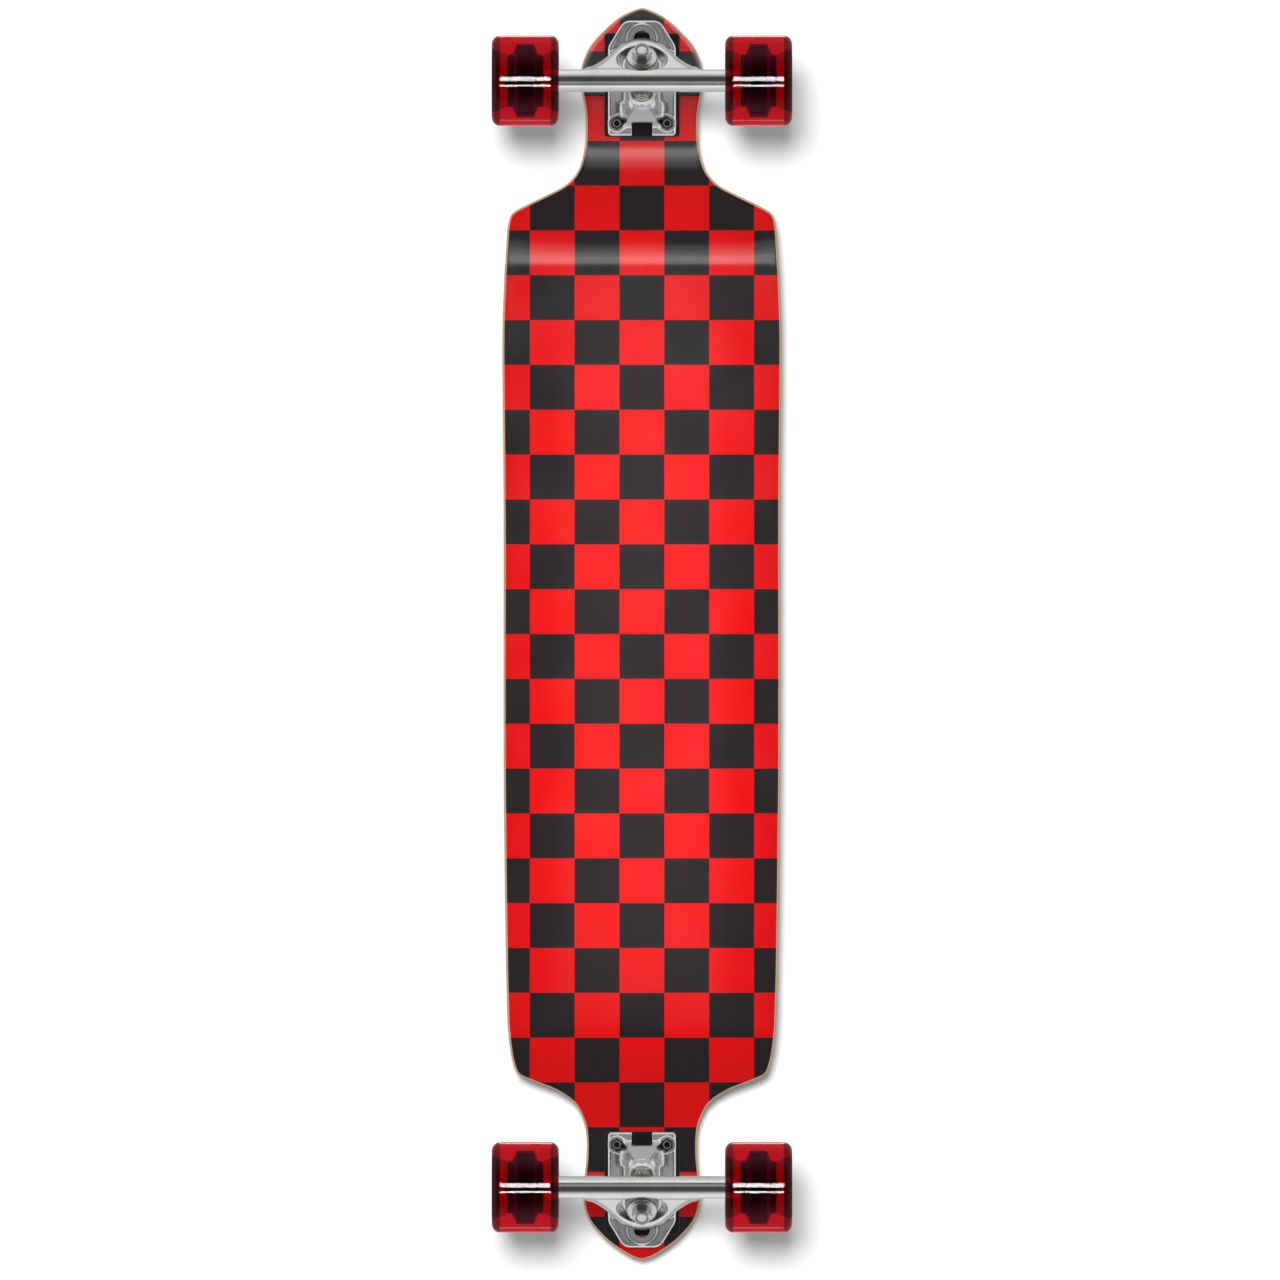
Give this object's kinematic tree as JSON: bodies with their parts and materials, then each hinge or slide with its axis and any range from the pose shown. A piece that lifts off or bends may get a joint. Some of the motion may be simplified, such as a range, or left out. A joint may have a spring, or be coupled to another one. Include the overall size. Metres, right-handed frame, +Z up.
{
  "type": "longboard skateboard",
  "caption": "Longboard skateboard: dropped maple deck with wheel cutaways, checked underside, reverse-kingpin trucks and soft translucent wheels on ball bearings.",
  "frame": {"origin": "on the ground, under the middle of the deck", "axes": "+X along the board to the nose, +Y to the rider's left, +Z up"},
  "size_m": [1.028, 0.246, 0.118],
  "materials": {
    "maple": "satin",
    "grip": "matte",
    "riser": "matte",
    "cast_aluminium": "satin",
    "urethane_cream": "satin",
    "zinc_steel": "satin",
    "black_steel": "satin",
    "bearing_steel": "polished",
    "red_urethane": "gloss",
    "black_core": "matte",
    "red_shield": "satin"
  },
  "bodies": {
    "board": {"deck": "maple", "grip_tape": "grip", "front_riser_pad": "riser", "front_baseplate": "cast_aluminium", "front_pivot_cup": "urethane_cream", "front_kingpin": "zinc_steel", "front_kingpin_nut": "zinc_steel", "front_boardside_washer": "zinc_steel", "front_boardside_bushing": "urethane_cream", "front_roadside_bushing": "urethane_cream", "front_roadside_washer": "zinc_steel", "front_mounting_bolts": "black_steel", "front_mounting_nuts": "black_steel", "rear_riser_pad": "riser", "rear_baseplate": "cast_aluminium", "rear_pivot_cup": "urethane_cream", "rear_kingpin": "zinc_steel", "rear_kingpin_nut": "zinc_steel", "rear_boardside_washer": "zinc_steel", "rear_boardside_bushing": "urethane_cream", "rear_roadside_bushing": "urethane_cream", "rear_roadside_washer": "zinc_steel", "rear_mounting_bolts": "black_steel", "rear_mounting_nuts": "black_steel"},
    "front_hanger": {"front_hanger": "cast_aluminium", "front_axle": "zinc_steel", "front_axle_nuts": "zinc_steel", "front_speed_rings": "zinc_steel", "front_bearing_inner_rings": "bearing_steel", "front_bearing_spacers": "zinc_steel"},
    "rear_hanger": {"rear_hanger": "cast_aluminium", "rear_axle": "zinc_steel", "rear_axle_nuts": "zinc_steel", "rear_speed_rings": "zinc_steel", "rear_bearing_inner_rings": "bearing_steel", "rear_bearing_spacers": "zinc_steel"},
    "front_left_wheel": {"front_left_tyre": "red_urethane", "front_left_core": "black_core", "front_left_outer_rings": "bearing_steel", "front_left_shields": "red_shield"},
    "front_left_cage": {"front_left_balls": "bearing_steel", "front_left_cages": "black_core"},
    "front_right_wheel": {"front_right_tyre": "red_urethane", "front_right_core": "black_core", "front_right_outer_rings": "bearing_steel", "front_right_shields": "red_shield"},
    "front_right_cage": {"front_right_balls": "bearing_steel", "front_right_cages": "black_core"},
    "rear_left_wheel": {"rear_left_tyre": "red_urethane", "rear_left_core": "black_core", "rear_left_outer_rings": "bearing_steel", "rear_left_shields": "red_shield"},
    "rear_left_cage": {"rear_left_balls": "bearing_steel", "rear_left_cages": "black_core"},
    "rear_right_wheel": {"rear_right_tyre": "red_urethane", "rear_right_core": "black_core", "rear_right_outer_rings": "bearing_steel", "rear_right_shields": "red_shield"},
    "rear_right_cage": {"rear_right_balls": "bearing_steel", "rear_right_cages": "black_core"}
  },
  "joints": [
    {"name": "front_steer", "type": "hinge", "parent": "board", "child": "front_hanger", "pos_m": [0.44055, 0, 0.049], "axis": [0.766, 0, 0.6428], "range_deg": [-20, 20], "stiffness_Nm_per_rad": 60, "deforming": ["front_boardside_bushing", "front_roadside_bushing"]},
    {"name": "rear_steer", "type": "hinge", "parent": "board", "child": "rear_hanger", "pos_m": [-0.44055, 0, 0.049], "axis": [-0.766, 0, 0.6428], "range_deg": [-20, 20], "stiffness_Nm_per_rad": 60, "deforming": ["rear_boardside_bushing", "rear_roadside_bushing"]},
    {"name": "front_left_spin", "type": "hinge", "parent": "front_hanger", "child": "front_left_wheel", "pos_m": [0.453, 0.0955, 0.037], "axis": [0, 1, 0], "continuous": true},
    {"name": "front_left_cage_spin", "type": "hinge", "parent": "front_hanger", "child": "front_left_cage", "pos_m": [0.453, 0.0955, 0.037], "axis": [0, 1, 0], "continuous": true},
    {"name": "front_right_spin", "type": "hinge", "parent": "front_hanger", "child": "front_right_wheel", "pos_m": [0.453, -0.0955, 0.037], "axis": [0, 1, 0], "continuous": true},
    {"name": "front_right_cage_spin", "type": "hinge", "parent": "front_hanger", "child": "front_right_cage", "pos_m": [0.453, -0.0955, 0.037], "axis": [0, 1, 0], "continuous": true},
    {"name": "rear_left_spin", "type": "hinge", "parent": "rear_hanger", "child": "rear_left_wheel", "pos_m": [-0.453, 0.0955, 0.037], "axis": [0, 1, 0], "continuous": true},
    {"name": "rear_left_cage_spin", "type": "hinge", "parent": "rear_hanger", "child": "rear_left_cage", "pos_m": [-0.453, 0.0955, 0.037], "axis": [0, 1, 0], "continuous": true},
    {"name": "rear_right_spin", "type": "hinge", "parent": "rear_hanger", "child": "rear_right_wheel", "pos_m": [-0.453, -0.0955, 0.037], "axis": [0, 1, 0], "continuous": true},
    {"name": "rear_right_cage_spin", "type": "hinge", "parent": "rear_hanger", "child": "rear_right_cage", "pos_m": [-0.453, -0.0955, 0.037], "axis": [0, 1, 0], "continuous": true}
  ],
  "couplings": [
    {"joint": "front_left_cage_spin", "follows": "front_left_spin", "ratio": 0.63233},
    {"joint": "front_right_cage_spin", "follows": "front_right_spin", "ratio": 0.63233},
    {"joint": "rear_left_cage_spin", "follows": "rear_left_spin", "ratio": 0.63233},
    {"joint": "rear_right_cage_spin", "follows": "rear_right_spin", "ratio": 0.63233}
  ]
}
